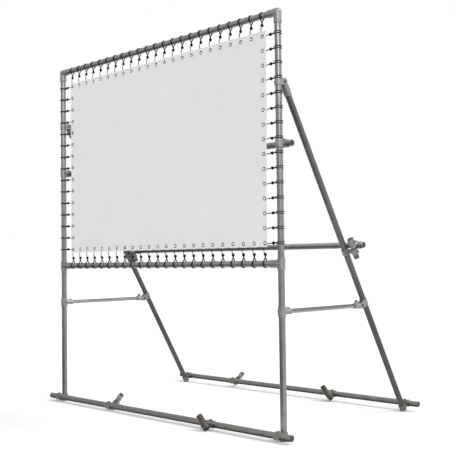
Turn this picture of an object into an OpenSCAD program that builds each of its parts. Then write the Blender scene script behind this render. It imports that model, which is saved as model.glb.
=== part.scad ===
// Pitch back rebounder: a free-standing frame of round steel tube and cast slip-on fittings.
// An elastic sheet is laced into its upper panel with ball bungees.
// Millimetres, +Z up, -Y is the side that the player throws at.

/* [Tube] */
// Outer diameter of the main tubes
tube_od = 48.3; // [44:0.1:52]
// Wall of the main tubes
tube_wall = 3.2; // [2:0.1:4]
// Outer diameter of the side ties
tie_od = 33.7; // [30:0.1:38]
// Wall of the side ties
tie_wall = 2.6; // [2:0.1:3.2]
// Outer diameter of the stubs
stub_od = 42.4; // [38:0.1:46]
// Wall of the stubs
stub_wall = 2.6; // [2:0.1:3.2]

/* [Fittings] */
// Radial clearance between a tube and the fitting round it
slip = 0.35; // [0.2:0.05:0.5]
// Wall of a fitting's barrel
fitting_wall = 5.5; // [4:0.5:6]
// Height of the raised bead round the mouth of a barrel
bead_rise = 0.9; // [0.4:0.1:1.5]
// Width of that bead
bead_width = 7; // [5:1:9]
// Length of a plain barrel
barrel_len = 62; // [56:1:70]
// Length of a tee's run
tee_len = 80; // [76:1:100]
// Reach of a lower tee's branch from the axis of its run
tee_reach = 100; // [80:1:120]
// Reach of a side tie's tee from the axis of its run
tie_tee_reach = 90; // [80:1:110]
// Reach of an elbow's two arms from its corner
elbow_reach = 82; // [70:1:110]
// Metal between the two tubes of a crossover
cross_web = 9.7; // [8:0.1:12]
// Length of a foot crossover's barrel to each side of the rail it crosses
foot_half = 24; // [24:1:31]
// Where the barrel on a stub starts above the tube it crosses
stub_barrel_low = 16; // [10:1:24]
// Where the barrel on a stub ends above the tube it crosses
stub_barrel_high = 88; // [70:1:100]
// Length of a link between a brace and its stub
link_len = 46; // [40:1:60]
// Thickness of the web of a link
link_web = 16; // [10:1:20]
// Radius of the hole in that web
link_hole_r = 6; // [4:0.5:8]

/* [Swivels and anchor couplers] */
// Radius of a swivel's ears
ear_r = 26; // [24:1:28]
// Thickness of one ear
ear_thick = 11; // [8:1:13]
// Thickness of the tongue between the ears
tongue_thick = 17; // [12:1:20]
// Side clearance of the tongue and face clearance of the couplers
joint_gap = 0.4; // [0.3:0.1:0.8]
// Radius of a swivel's bolt
pin_r = 6; // [5:0.5:7]
// Radial clearance of a bolt or stud in its hole
pin_fit = 0.05; // [0.02:0.01:0.1]
// Length of a post's swivel collar above its bolt
collar_up = 15; // [12:1:16]
// Length of a post's swivel collar below its bolt
collar_down = 33; // [30:1:40]
// Length of the socket barrel at the top of a brace
socket_len = 80; // [60:1:100]
// Length of the socket barrel at the end of a side tie
tie_socket_len = 62; // [55:1:70]
// Distance between the two barrels of an anchor coupler
coupler_gap = 4; // [3:0.5:6]
// Radius of the pivot stud of an anchor coupler
stud_r = 5; // [4:0.5:7]

/* [Set screws] */
// Radius of a set screw
screw_r = 6; // [5:0.5:7]
// Radius of the boss it is screwed through
boss_r = 12; // [10:0.5:13]
// Rise of the boss above the barrel
boss_rise = 4.5; // [3:0.5:7]
// Radius of the tall boss on a side tie's socket
tall_boss_r = 15; // [12:0.5:16]
// Rise of that boss above its barrel
tall_boss_rise = 20; // [10:1:24]
// Rise of a screw above its boss
screw_rise = 4; // [2:0.5:6]
// Size of the hexagon socket, corner to centre
hex_r = 3.4; // [2.5:0.1:4]

/* [Frame] */
// Distance between the axes of the posts
post_spacing = 2700; // [2400:10:3000]
// Height of the lower rail's axis
panel_low = 1265; // [1100:5:1400]
// Height of the top rail's axis
panel_high = 3098; // [2900:2:3200]
// Length of both ground rails
rail_len = 2950; // [2900:10:3200]
// Height of the front ground rail's axis
front_rail_z = 44; // [44:1:50]
// Height of the bolt at the top of the braces
brace_pivot_z = 2592; // [2400:1:2700]
// Angle between the braces and the posts
brace_angle = 30.3; // [26:0.1:33]
// Height of the side ties' axes
tie_z = 921; // [800:1:1050]
// Height of the upper back tube's axis
back_tube_z = 2138; // [1900:1:2300]
// Length of the upper back tube
back_tube_len = 2846; // [2800:2:2980]
// Height of the rear cross tube's axis
cross_tube_z = 1402; // [1300:1:1500]
// Length of the rear cross tube
cross_tube_len = 2950; // [2900:10:3100]
// How far the rear cross tube is slid towards +X
cross_tube_shift = 25; // [5:1:40]

/* [Stubs] */
// Sideways distance of a stub from the brace beside it
stub_offset = 88; // [80:1:110]
// Length of a stub above the tube it crosses
stub_up = 86; // [70:1:110]
// Length of a stub below that tube
stub_down = 82; // [50:1:100]

/* [Anchor sleeves] */
// Lean of a sleeve from the vertical
sleeve_lean = 44; // [30:1:50]
// Distance of the front left anchor from the middle of its rail
front_left_x = 597; // [560:1:720]
// Distance of the front right anchor from the middle of its rail
front_right_x = 667; // [560:1:720]
// Distance of the rear left anchor from the middle of its rail
rear_left_x = 689; // [560:1:720]
// Distance of the rear right anchor from the middle of its rail
rear_right_x = 575; // [560:1:720]
// Length of the front left sleeve above its pivot
front_left_up = 130; // [80:1:140]
// Length of the front right sleeve above its pivot
front_right_up = 92; // [80:1:140]
// Length of the rear left sleeve above its pivot
rear_left_up = 104; // [80:1:140]
// Length of the rear right sleeve above its pivot
rear_right_up = 92; // [80:1:140]
// Length of a front sleeve below its pivot
front_sleeve_down = 35; // [33:1:36]
// Length of a rear sleeve below its pivot
rear_sleeve_down = 54; // [33:1:56]

/* [Sheet] */
// Gap between a tube's axis and the eyelets laced to it
lace_gap = 152; // [140:1:170]
// Number of eyelets across
eyelet_cols = 23; // [20:1:25]
// Number of eyelets up
eyelet_rows = 15; // [13:1:17]
// Distance from the eyelets to the sheet's edge
sheet_margin = 30; // [24:1:36]
// Thickness of the sheet with its hem
sheet_thick = 3; // [2:0.5:4]
// Radius of the sheet's corners
sheet_corner = 12; // [5:1:20]
// Outer diameter of an eyelet
eyelet_od = 30; // [26:1:34]
// Hole of an eyelet
eyelet_id = 15; // [15:0.5:18]
// Thickness of an eyelet's flange
flange = 1; // [0.6:0.1:1.5]

/* [Bungees] */
// Diameter of the cord round the tube
cord_d = 6; // [5:0.5:7]
// Diameter of the strand through the eyelet
strand_d = 4.5; // [4:0.5:5]
// Distance between the two turns of cord on a tube
turn_spacing = 14.5; // [12:0.5:18]
// Diameter of the ball
ball_d = 20; // [18:1:24]
// Distance of the ball from the tube's axis
ball_reach = 70; // [60:1:80]

/* [Hidden] */
$fn = 64;

LEFT = -1;
RIGHT = 1;
cut = 1; // overrun of a cutting tool past the face it cuts
seat_gap = 0.1; // gap between a screw's tip and the tube
stop_gap = 3; // gap between a tube's end and the floor of the fitting
mouth_chamfer = 1;

// Radii shared by everything that fits together. A fitting takes the radius of its tube.
tube_r = tube_od / 2;
tie_r = tie_od / 2;
stub_r = stub_od / 2;
function bore(r) = r + slip;
function barrel(r) = bore(r) + fitting_wall;
function screw_top(r, rise = boss_rise) = barrel(r) + rise + screw_rise;
cross_gap = tube_od + cross_web;
run_floor = bore(tube_r) + 2; // floor of a branch, beyond the run it stands on
web_r = barrel(tube_r) * 0.7;
tee_screw_z = tee_len / 2 - boss_r - 4; // a lower tee's screw stands above its branch

// Swivels: bolt's distance from the collar's axis, and where the socket's barrel starts
swivel_reach = barrel(tube_r) + ear_r - 4;
socket_start = ear_r + 1;
socket_floor = 8; // thickness of the closed end of a socket
ear_inner = tongue_thick / 2 + joint_gap;
ear_outer = ear_inner + ear_thick;
tongue_r = ear_r - 4;
bolt_head = pin_r * 0.9;

// Braces, in the plane x = half_post. n points up and back from a brace.
half_post = post_spacing / 2;
n = [0, cos(brace_angle), sin(brace_angle)];
function brace_y(z) = swivel_reach + (brace_pivot_z - z) * tan(brace_angle);
foot_z = (barrel(tube_r) - mouth_chamfer) * n[2] + foot_half * n[1];
mid_z = cross_tube_z - cross_gap * n[2];
tie_collar_z = tie_z + swivel_reach * n[2];
rear_rail_z = foot_z + cross_gap * n[2];
rear_rail_y = brace_y(foot_z) + cross_gap * n[1];
front_rail_y = -cross_gap;
cross_tube_y = brace_y(mid_z) + cross_gap * n[1];
tie_bolt_y = brace_y(tie_collar_z) - swivel_reach * n[1];

// Links, along the brace from the cross tube. The web of a stub's crossover sits above them.
link_top = -1;
link_mid = link_top - link_len / 2;
stub_web_r = 18;
stub_web_z = stub_web_r + 1;

// Anchor couplers
coupler_y = 2 * barrel(tube_r) + coupler_gap;
disc_r = barrel(tube_r) * 0.75;

// The part's origin is on the ground, in the middle of its footprint
origin_x = (cross_tube_len / 2 + cross_tube_shift - rail_len / 2) / 2;
origin_y = (front_rail_y + rear_rail_y) / 2;

// Sheet
field_w = post_spacing - 2 * lace_gap;
field_h = panel_high - panel_low - 2 * lace_gap;
field_low = panel_low + lace_gap;
pitch_x = field_w / (eyelet_cols - 1);
pitch_z = field_h / (eyelet_rows - 1);
eyelet_r = eyelet_id / 2;
eyelet_neck_r = (eyelet_id + eyelet_od) / 4;
clenched = sheet_thick / 2 + flange;

// Bungees: the cord's circle round the tube, and its tangents to the ball
cord_r = cord_d / 2;
strand_r = strand_d / 2;
turn_r = tube_r + cord_r + seat_gap;
tangent = acos(turn_r / ball_reach);
ball_clear = ball_d / 2 + 0.3;
// A straight length starts inside the end of a bend, a hair thinner than the bend
hair = 0.1;
root = 0.4;
leg_stop = sqrt(pow(ball_clear, 2) - pow(turn_spacing / 2 - cord_r, 2));
leg = sqrt(pow(ball_reach, 2) - pow(turn_r, 2)) - leg_stop;
// A strand hooks through the eyelet in a half circle of radius hook_r about hook_z. It bears
// on the rim, and leaves room for the second strand in a corner eyelet.
strand_seat = 0.2;
strand_z = (strand_d + 2 * strand_seat) / sqrt(2);
rim = eyelet_r - strand_z;
bend = strand_r + strand_seat;
hook_r = (clenched * clenched + rim * rim - bend * bend) / (2 * (rim - bend));
hook_z = strand_z + hook_r;
strand_top = lace_gap - ball_reach - sqrt(pow(ball_clear, 2) - pow(hook_r - strand_r, 2));

// ---------- building blocks ----------

// A plain tube along +Z
module tube(length, r = tube_r, wall = tube_wall) {
    difference() {
        cylinder(r = r, h = length);
        translate([0, 0, -cut]) cylinder(r = r - wall, h = length + 2 * cut);
    }
}

// The outside of a cast barrel along Z for a tube of radius t, with a bead round each mouth
module barrel_skin(low, high, t = tube_r) {
    r = barrel(t);
    c = mouth_chamfer;
    b = bead_rise;
    w = bead_width;
    rotate_extrude() polygon([[0, low], [r - c, low], [r, low + c], [r, low + w - b],
        [r - b, low + w], [r - b, high - w], [r, high - w + b], [r, high - c],
        [r - c, high], [0, high]]);
}

// The hole through a barrel
module barrel_bore(low, high, t = tube_r) {
    translate([0, 0, low]) cylinder(r = bore(t), h = high - low);
}

// Puts its children on a barrel's side, at an angle round Z and a height, pointing outwards
module seat(angle, z) {
    rotate([0, 0, angle]) translate([0, 0, z]) rotate([0, 90, 0]) children();
}

// A screw stands on a tube of radius t, in a boss on its barrel
module screw_boss(t = tube_r, r = boss_r, rise = boss_rise) {
    cylinder(r = r, h = barrel(t) + rise);
}

module screw_hole(t = tube_r, rise = boss_rise) {
    translate([0, 0, t / 2]) cylinder(r = screw_r + seat_gap, h = screw_top(t, rise));
}

module set_screw(t = tube_r, rise = boss_rise) {
    low = t + seat_gap;
    high = screw_top(t, rise);
    difference() {
        translate([0, 0, low]) cylinder(r = screw_r, h = high - low);
        translate([0, 0, high - hex_r]) cylinder(r = hex_r, h = hex_r + cut, $fn = 6);
    }
}

// ---------- fittings, each in its own frame ----------

// Crossover: one barrel along Z, and one along X at y = -cross_gap
module crossover_body(low, high, screws, t = tube_r, web = web_r, web_z = 0) {
    half = barrel_len / 2;
    difference() {
        union() {
            barrel_skin(low, high, t);
            translate([0, -cross_gap, 0]) rotate([0, 90, 0]) barrel_skin(-half, half);
            translate([0, 0, web_z]) rotate([90, 0, 0]) cylinder(r = web, h = cross_gap);
            crossover_run_seats(screws) screw_boss(t);
            crossover_branch_seat() screw_boss();
        }
        barrel_bore(min(low, web_z - web) - cut, max(high, web_z + web) + cut, t);
        translate([0, -cross_gap, 0]) rotate([0, 90, 0])
            barrel_bore(-half - cut, half + cut);
        crossover_run_seats(screws) screw_hole(t);
        crossover_branch_seat() screw_hole();
    }
}

// screws lists the seats on the Z barrel as [angle, height]
module crossover_run_seats(screws) {
    for (s = screws) seat(s[0], s[1]) children();
}

module crossover_branch_seat() {
    translate([0, -cross_gap, 0]) children();
}

// Tee: a run along Z, and a branch along +X for a tube of radius t. Its screws stand at a
// height on the run, and at an angle round the branch.
module tee_body(reach, screw_z, screw_angle, t = tube_r) {
    difference() {
        union() {
            barrel_skin(-tee_len / 2, tee_len / 2);
            rotate([0, 90, 0]) barrel_skin(0, reach, t);
            tee_run_seat(screw_z) screw_boss();
            tee_branch_seat(reach, screw_angle) screw_boss(t);
        }
        barrel_bore(-tee_len / 2 - cut, tee_len / 2 + cut);
        rotate([0, 90, 0]) barrel_bore(run_floor, reach + cut, t);
        tee_run_seat(screw_z) screw_hole();
        tee_branch_seat(reach, screw_angle) screw_hole(t);
    }
}

module tee_run_seat(screw_z) {
    seat(90, screw_z) children();
}

module tee_branch_seat(reach, screw_angle) {
    translate([reach - 22, 0, 0]) rotate([screw_angle, 0, 0]) children();
}

// Elbow: one arm along -Z and one along -X
module elbow_body() {
    difference() {
        union() {
            barrel_skin(-elbow_reach, 0);
            rotate([0, -90, 0]) barrel_skin(0, elbow_reach);
            sphere(r = barrel(tube_r));
            elbow_seats() screw_boss();
        }
        barrel_bore(-elbow_reach - cut, -run_floor);
        rotate([0, -90, 0]) barrel_bore(run_floor, elbow_reach + cut);
        elbow_seats() screw_hole();
    }
}

module elbow_seats() {
    seat(90, 24 - elbow_reach) children();
    translate([24 - elbow_reach, 0, 0]) rotate([-90, 0, 0]) children();
}

// Swivel collar: a barrel along Z with two ears towards +Y, and the bolt at z = 0
module swivel_collar_body(low, high, screw_angle) {
    difference() {
        union() {
            barrel_skin(low, high);
            for (s = [-1, 1]) translate([s * (ear_inner + ear_thick / 2), 0, 0])
                rotate([0, 90, 0]) ear(min(ear_r, high - mouth_chamfer));
            collar_seat(low, high, screw_angle) screw_boss();
        }
        barrel_bore(low - cut, high + cut);
        collar_seat(low, high, screw_angle) screw_hole();
        translate([0, swivel_reach, 0]) rotate([0, 90, 0])
            cylinder(r = tongue_r + joint_gap, h = 2 * ear_inner, center = true);
        bolt_hole(swivel_reach);
    }
}

module collar_seat(low, high, screw_angle) {
    seat(screw_angle, (low + high) / 2) children();
}

// A plate with a round end, from the collar's wall to the bolt. Its root stops at the mouth.
module ear(root) {
    translate([0, swivel_reach, 0]) cylinder(r = ear_r, h = ear_thick, center = true);
    translate([-root, 0, -ear_thick / 2]) cube([root + ear_r, swivel_reach, ear_thick]);
}

module bolt_hole(y) {
    translate([0, y, 0]) rotate([0, 90, 0])
        cylinder(r = pin_r + pin_fit, h = 2 * ear_outer + 2 * cut, center = true);
}

// Swivel socket: bolt at the origin, a tongue, and a barrel along -Z for a tube of radius t
module swivel_socket_body(length, screw_angle, t, r, rise) {
    depth = socket_start + length;
    difference() {
        union() {
            translate([0, 0, -depth]) barrel_skin(0, length, t);
            rotate([0, 90, 0]) cylinder(r = tongue_r, h = tongue_thick, center = true);
            translate([-tongue_thick / 2, -tongue_r, -socket_start - 2])
                cube([tongue_thick, 2 * tongue_r, socket_start + 2]);
            socket_seat(length, screw_angle) screw_boss(t, r, rise);
        }
        translate([0, 0, -depth - cut]) cylinder(r = bore(t), h = length - socket_floor + cut);
        socket_seat(length, screw_angle) screw_hole(t, rise);
        bolt_hole(0);
    }
}

module socket_seat(length, screw_angle) {
    seat(screw_angle, -socket_start - length / 2) children();
}

// A hexagon bolt and nut through a swivel, along X
module swivel_bolt() {
    rotate([0, 90, 0]) {
        cylinder(r = pin_r, h = 2 * ear_outer + 2 * bolt_head, center = true);
        for (s = [-1, 1]) translate([0, 0, s * (ear_outer + bolt_head / 2)])
            cylinder(r = pin_r * 1.8, h = bolt_head, center = true, $fn = 6);
    }
}

// Link: two parallel barrels, round a brace and the stub beside it, joined by a pierced web
module link_body() {
    half = link_len / 2;
    web_x = (barrel(tube_r) + stub_offset - barrel(stub_r)) / 2;
    difference() {
        union() {
            barrel_skin(-half, half);
            translate([stub_offset, 0, 0]) barrel_skin(-half, half, stub_r);
            translate([0, -link_web / 2, bead_width - half])
                cube([stub_offset, link_web, link_len - 2 * bead_width]);
            link_brace_seat() screw_boss();
            link_stub_seat() screw_boss(stub_r);
        }
        barrel_bore(-half - cut, half + cut);
        translate([stub_offset, 0, 0]) barrel_bore(-half - cut, half + cut, stub_r);
        translate([web_x, 0, 0]) rotate([90, 0, 0])
            cylinder(r = link_hole_r, h = link_web + 2 * cut, center = true);
        link_brace_seat() screw_hole();
        link_stub_seat() screw_hole(stub_r);
    }
}

module link_brace_seat() {
    seat(-50, 0) children();
}

module link_stub_seat() {
    translate([stub_offset, 0, 0]) seat(0, 0) children();
}

// Anchor coupler, half on the rail: barrel along X, pivot stud towards -Y
module rail_clamp_body() {
    half = barrel_len / 2;
    difference() {
        union() {
            rotate([0, 90, 0]) barrel_skin(-half, half);
            rotate([90, 0, 0]) cylinder(r = disc_r, h = (coupler_y - joint_gap) / 2);
            screw_boss();
        }
        rotate([0, 90, 0]) barrel_bore(-half - cut, half + cut);
        screw_hole();
    }
    translate([0, -coupler_y / 2 + joint_gap, 0]) rotate([90, 0, 0])
        cylinder(r = stud_r, h = coupler_y / 2 - bore(tube_r) - 0.5);
}

// Anchor coupler, half on the sleeve: barrel along Z, disc and stud hole towards +Y
module sleeve_clamp_body() {
    half = barrel_len / 2;
    difference() {
        union() {
            barrel_skin(-half, half);
            rotate([-90, 0, 0]) cylinder(r = disc_r, h = (coupler_y - joint_gap) / 2);
            seat(-90, 0) screw_boss();
        }
        barrel_bore(-half - cut, half + cut);
        rotate([-90, 0, 0]) cylinder(r = stud_r + pin_fit, h = coupler_y);
        seat(-90, 0) screw_hole();
    }
    seat(-90, 0) set_screw();
}

// ---------- where each fitting goes ----------

module placed() {
    translate([-origin_x, -origin_y, 0]) children();
}

// The left side mirrors the right side
module on_side(side) {
    placed() mirror([side < 0 ? 1 : 0, 0, 0]) children();
}

module on_post(side, z) {
    on_side(side) translate([half_post, 0, z]) children();
}

// On a brace's axis at a height, with local Z along the brace
module on_brace(side, z) {
    on_side(side) translate([half_post, brace_y(z), z]) rotate([brace_angle, 0, 0]) children();
}

module at_elbow(side) {
    on_post(side, panel_high) children();
}

module at_lower_tee(side) {
    on_post(side, panel_low) mirror([1, 0, 0]) children();
}

module at_tie_tee(side) {
    on_post(side, tie_z) rotate([0, 0, 90]) children();
}

module at_base(side) {
    on_post(side, front_rail_z) children();
}

module at_back(side) {
    on_post(side, back_tube_z) rotate([0, 0, 180]) children();
}

module at_brace_collar(side) {
    on_post(side, brace_pivot_z) children();
}

module at_brace_socket(side) {
    on_brace(side, brace_pivot_z) children();
}

module at_tie_collar(side) {
    on_brace(side, tie_collar_z) rotate([0, 0, 180]) children();
}

module at_tie_socket(side) {
    on_side(side) translate([half_post, tie_bolt_y, tie_z]) rotate([-90, 0, 0]) children();
}

module at_foot(side) {
    on_brace(side, foot_z) rotate([0, 0, 180]) children();
}

// Both stubs stand on the +X side of their braces, so these are not mirrored
module at_crossing(side) {
    placed() translate([side * half_post, brace_y(mid_z), mid_z])
        rotate([brace_angle, 0, 0]) children();
}

module at_link(side) {
    at_crossing(side) translate([0, 0, link_mid]) children();
}

module at_stub(side) {
    at_crossing(side) translate([stub_offset, 0, 0]) children();
}

module at_stub_crossover(side) {
    at_stub(side) rotate([0, 0, 180]) children();
}

// Anchor couplers. Local -Y points from the rail to the sleeve: forwards on the right side,
// backwards on the left.
function anchor_x(front, side) = side > 0 ? (front ? front_right_x : rear_right_x)
    : (front ? -front_left_x : -rear_left_x);
function sleeve_up(front, side) = side > 0 ? (front ? front_right_up : rear_right_up)
    : (front ? front_left_up : rear_left_up);
function sleeve_down(front) = front ? front_sleeve_down : rear_sleeve_down;

module at_coupler(front, side) {
    placed() translate([anchor_x(front, side), front ? front_rail_y : rear_rail_y,
        front ? front_rail_z : rear_rail_z]) rotate([0, 0, side > 0 ? 0 : 180]) children();
}

// The sleeve of a coupler, leaning towards the middle of the rail
module at_sleeve(front, side) {
    at_coupler(front, side) translate([0, -coupler_y, 0])
        rotate([0, -sleeve_lean, 0]) children();
}

// ---------- nodes ----------

// Ends of the barrels, and seats of the set screws on their runs, as [angle, height]
base_low = -front_rail_z;
base_high = barrel_len - front_rail_z;
base_screws = [[90, (base_low + base_high) / 2]];
back_screws = [[0, 0]];
foot_screws = [[180, foot_half - boss_r - 4]];
stub_screws = [[180, stub_barrel_high - 26]];

module paint_tube() {
    color("#7f807d") children();
}

module paint_fitting() {
    color("#a2a39f") children();
}

module post(side) {
    foot = 2;
    paint_tube() on_post(side, foot) tube(panel_high - run_floor - stop_gap - foot);
}

module rail_between(z) {
    gap = run_floor + stop_gap;
    paint_tube() placed() translate([gap - half_post, 0, z])
        rotate([0, 90, 0]) tube(post_spacing - 2 * gap);
}

module free_tube(length, shift, y, z) {
    paint_tube() placed() translate([shift - length / 2, y, z])
        rotate([0, 90, 0]) tube(length);
}

module brace(side) {
    top = socket_start + socket_floor + stop_gap;
    bottom = (brace_pivot_z - foot_z) / n[1] + foot_half - 2;
    paint_tube() at_brace_socket(side) translate([0, 0, -bottom]) tube(bottom - top);
}

module tie(side) {
    start = run_floor + stop_gap;
    stop = tie_bolt_y - socket_start - socket_floor - stop_gap;
    paint_tube() on_post(side, tie_z) translate([0, start, 0])
        rotate([-90, 0, 0]) tube(stop - start, tie_r, tie_wall);
}

module stub(side) {
    paint_tube() at_stub(side) translate([0, 0, -stub_down])
        tube(stub_up + stub_down, stub_r, stub_wall);
}

module anchor_sleeve(front, side) {
    down = sleeve_down(front);
    paint_tube() at_sleeve(front, side) translate([0, 0, -down])
        tube(sleeve_up(front, side) + down);
}

module base_crossover(side) {
    paint_fitting() at_base(side) crossover_body(base_low, base_high, base_screws,
        web = min(web_r, base_high - 2 * mouth_chamfer));
}

module back_crossover(side) {
    half = barrel_len / 2;
    paint_fitting() at_back(side) crossover_body(-half, half, back_screws);
}

module foot_crossover(side) {
    paint_fitting() at_foot(side) crossover_body(-foot_half, foot_half, foot_screws);
}

module stub_crossover(side) {
    paint_fitting() at_stub_crossover(side) crossover_body(stub_barrel_low,
        stub_barrel_high, stub_screws, stub_r, stub_web_r, stub_web_z);
}

module brace_collar(side) {
    paint_fitting() at_brace_collar(side) swivel_collar_body(-collar_down, collar_up, 180);
}

module tie_collar(side) {
    half = barrel_len / 2;
    paint_fitting() at_tie_collar(side) swivel_collar_body(-half, half, -90);
}

module brace_socket(side) {
    paint_fitting() at_brace_socket(side)
        swivel_socket_body(socket_len, 90, tube_r, boss_r, boss_rise);
}

module tie_socket(side) {
    paint_fitting() at_tie_socket(side)
        swivel_socket_body(tie_socket_len, -90, tie_r, tall_boss_r, tall_boss_rise);
}

module rail_clamp(front, side) {
    paint_fitting() at_coupler(front, side) rail_clamp_body();
}

module sleeve_clamp(front, side) {
    paint_fitting() at_sleeve(front, side) sleeve_clamp_body();
}

module swivel_bolts() {
    color("#55565a") for (side = [LEFT, RIGHT]) {
        on_post(side, brace_pivot_z) translate([0, swivel_reach, 0]) swivel_bolt();
        at_tie_socket(side) swivel_bolt();
    }
}

module set_screws() {
    half = barrel_len / 2;
    color("#4b4c50") for (side = [LEFT, RIGHT]) {
        at_elbow(side) elbow_seats() set_screw();
        at_lower_tee(side) tee_run_seat(tee_screw_z) set_screw();
        at_lower_tee(side) tee_branch_seat(tee_reach, -90) set_screw();
        at_tie_tee(side) tee_run_seat(0) set_screw();
        at_tie_tee(side) tee_branch_seat(tie_tee_reach, 0) set_screw(tie_r);
        at_base(side) crossover_run_seats(base_screws) set_screw();
        at_base(side) crossover_branch_seat() set_screw();
        at_back(side) crossover_run_seats(back_screws) set_screw();
        at_back(side) crossover_branch_seat() set_screw();
        at_foot(side) crossover_run_seats(foot_screws) set_screw();
        at_foot(side) crossover_branch_seat() set_screw();
        at_stub_crossover(side) crossover_run_seats(stub_screws) set_screw(stub_r);
        at_stub_crossover(side) crossover_branch_seat() set_screw();
        at_link(side) link_brace_seat() set_screw();
        at_link(side) link_stub_seat() set_screw(stub_r);
        at_brace_collar(side) collar_seat(-collar_down, collar_up, 180) set_screw();
        at_tie_collar(side) collar_seat(-half, half, -90) set_screw();
        at_brace_socket(side) socket_seat(socket_len, 90) set_screw();
        at_tie_socket(side) socket_seat(tie_socket_len, -90) set_screw(tie_r, tall_boss_rise);
        for (front = [true, false]) at_coupler(front, side) set_screw();
    }
}

// The panel's middle, with the sheet in the plane y = 0
module in_panel() {
    placed() translate([0, 0, field_low]) children();
}

module at_eyelets() {
    for (i = [0 : eyelet_cols - 1], j = [0 : eyelet_rows - 1])
        if (i == 0 || j == 0 || i == eyelet_cols - 1 || j == eyelet_rows - 1)
            translate([i * pitch_x - field_w / 2, 0, j * pitch_z])
                rotate([90, 0, 0]) children();
}

module sheet() {
    w = field_w / 2 + sheet_margin;
    color("#dedfe1") in_panel() difference() {
        rotate([90, 0, 0]) translate([0, 0, -sheet_thick / 2]) linear_extrude(sheet_thick)
            rounded_rectangle(-w, -sheet_margin, w, field_h + sheet_margin, sheet_corner);
        at_eyelets() cylinder(r = eyelet_neck_r, h = 2 * sheet_thick, center = true);
    }
}

module rounded_rectangle(x0, y0, x1, y1, r) {
    translate([x0 + r, y0]) square([x1 - x0 - 2 * r, y1 - y0]);
    translate([x0, y0 + r]) square([x1 - x0, y1 - y0 - 2 * r]);
    for (x = [x0 + r, x1 - r], y = [y0 + r, y1 - r]) translate([x, y]) circle(r);
}

// A two-part metal eyelet, clenched over both faces of the sheet
module eyelet() {
    t = sheet_thick / 2;
    outer = eyelet_od / 2;
    lip = flange / 2;
    rotate_extrude() polygon([[eyelet_r, -clenched], [outer - lip, -clenched],
        [outer, -t - lip], [outer, -t], [eyelet_neck_r, -t], [eyelet_neck_r, t],
        [outer, t], [outer, t + lip], [outer - lip, clenched], [eyelet_r, clenched]]);
}

module eyelets() {
    color("#8c8d8f") in_panel() at_eyelets() eyelet();
}

// One bungee runs from each eyelet to each tube beside it. Local +Z points from the sheet
// to the tube, the origin is the eyelet, and the tube runs along X at z = lace_gap.
module at_bungees() {
    in_panel() {
        for (i = [0 : eyelet_cols - 1]) {
            x = i * pitch_x - field_w / 2;
            translate([x, 0, field_h]) children();
            translate([x, 0, 0]) rotate([0, 180, 0]) children();
        }
        for (j = [0 : eyelet_rows - 1]) {
            z = j * pitch_z;
            translate([field_w / 2, 0, z]) rotate([0, 90, 0]) children();
            translate([-field_w / 2, 0, z]) rotate([0, -90, 0]) children();
        }
    }
}

// Two turns of cord round the tube. Their legs leave the tube along its tangents, for the ball.
module bungee_loop() {
    bend_angle = 360 - 2 * tangent;
    for (x = [-turn_spacing / 2, turn_spacing / 2])
        translate([x, 0, lace_gap]) rotate([0, 90, 0]) rotate([0, 0, tangent]) {
            rotate_extrude(angle = bend_angle) translate([turn_r, 0]) circle(cord_r);
            loop_leg(1);
            rotate([0, 0, bend_angle]) loop_leg(-1);
        }
}

module loop_leg(way) {
    translate([turn_r, way * root, 0]) rotate([way * 90, 0, 0])
        cylinder(r = cord_r - hair, h = leg + root);
}

module bungee_ball() {
    translate([0, 0, lace_gap - ball_reach]) sphere(d = ball_d);
}

// A strand from the ball through the eyelet and back
module bungee_strand() {
    translate([0, 0, hook_z]) rotate([0, 90, 0]) rotate([0, 0, -90])
        rotate_extrude(angle = 180) translate([hook_r, 0]) circle(strand_r);
    for (y = [-hook_r, hook_r]) translate([0, y, hook_z - root])
        cylinder(r = strand_r - hair, h = strand_top - hook_z + root);
}

module bungee_loops() {
    color("#1b1b1d") at_bungees() bungee_loop();
}

module bungee_balls() {
    color("#0f0f10") at_bungees() bungee_ball();
}

module bungee_strands() {
    color("#26262a") at_bungees() bungee_strand();
}

post(LEFT);  // post_left
post(RIGHT);  // post_right
rail_between(panel_high);  // top_rail
rail_between(panel_low);  // lower_rail
paint_fitting() at_elbow(LEFT) elbow_body();  // elbow_left
paint_fitting() at_elbow(RIGHT) elbow_body();  // elbow_right
paint_fitting() at_lower_tee(LEFT) tee_body(tee_reach, tee_screw_z, -90);  // lower_tee_left
paint_fitting() at_lower_tee(RIGHT) tee_body(tee_reach, tee_screw_z, -90);  // lower_tee_right
free_tube(rail_len, 0, front_rail_y, front_rail_z);  // front_ground_rail
free_tube(rail_len, 0, rear_rail_y, rear_rail_z);  // rear_ground_rail
base_crossover(LEFT);  // base_crossover_left
base_crossover(RIGHT);  // base_crossover_right
free_tube(back_tube_len, 0, cross_gap, back_tube_z);  // back_tube
back_crossover(LEFT);  // back_crossover_left
back_crossover(RIGHT);  // back_crossover_right
brace(LEFT);  // brace_left
brace(RIGHT);  // brace_right
brace_collar(LEFT);  // brace_collar_left
brace_collar(RIGHT);  // brace_collar_right
brace_socket(LEFT);  // brace_socket_left
brace_socket(RIGHT);  // brace_socket_right
tie(LEFT);  // tie_left
tie(RIGHT);  // tie_right
paint_fitting() at_tie_tee(LEFT) tee_body(tie_tee_reach, 0, 0, tie_r);  // tie_tee_left
paint_fitting() at_tie_tee(RIGHT) tee_body(tie_tee_reach, 0, 0, tie_r);  // tie_tee_right
tie_socket(LEFT);  // tie_socket_left
tie_socket(RIGHT);  // tie_socket_right
tie_collar(LEFT);  // tie_collar_left
tie_collar(RIGHT);  // tie_collar_right
foot_crossover(LEFT);  // foot_crossover_left
foot_crossover(RIGHT);  // foot_crossover_right
free_tube(cross_tube_len, cross_tube_shift, cross_tube_y, cross_tube_z);  // rear_cross_tube
paint_fitting() at_link(LEFT) link_body();  // link_left
paint_fitting() at_link(RIGHT) link_body();  // link_right
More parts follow.
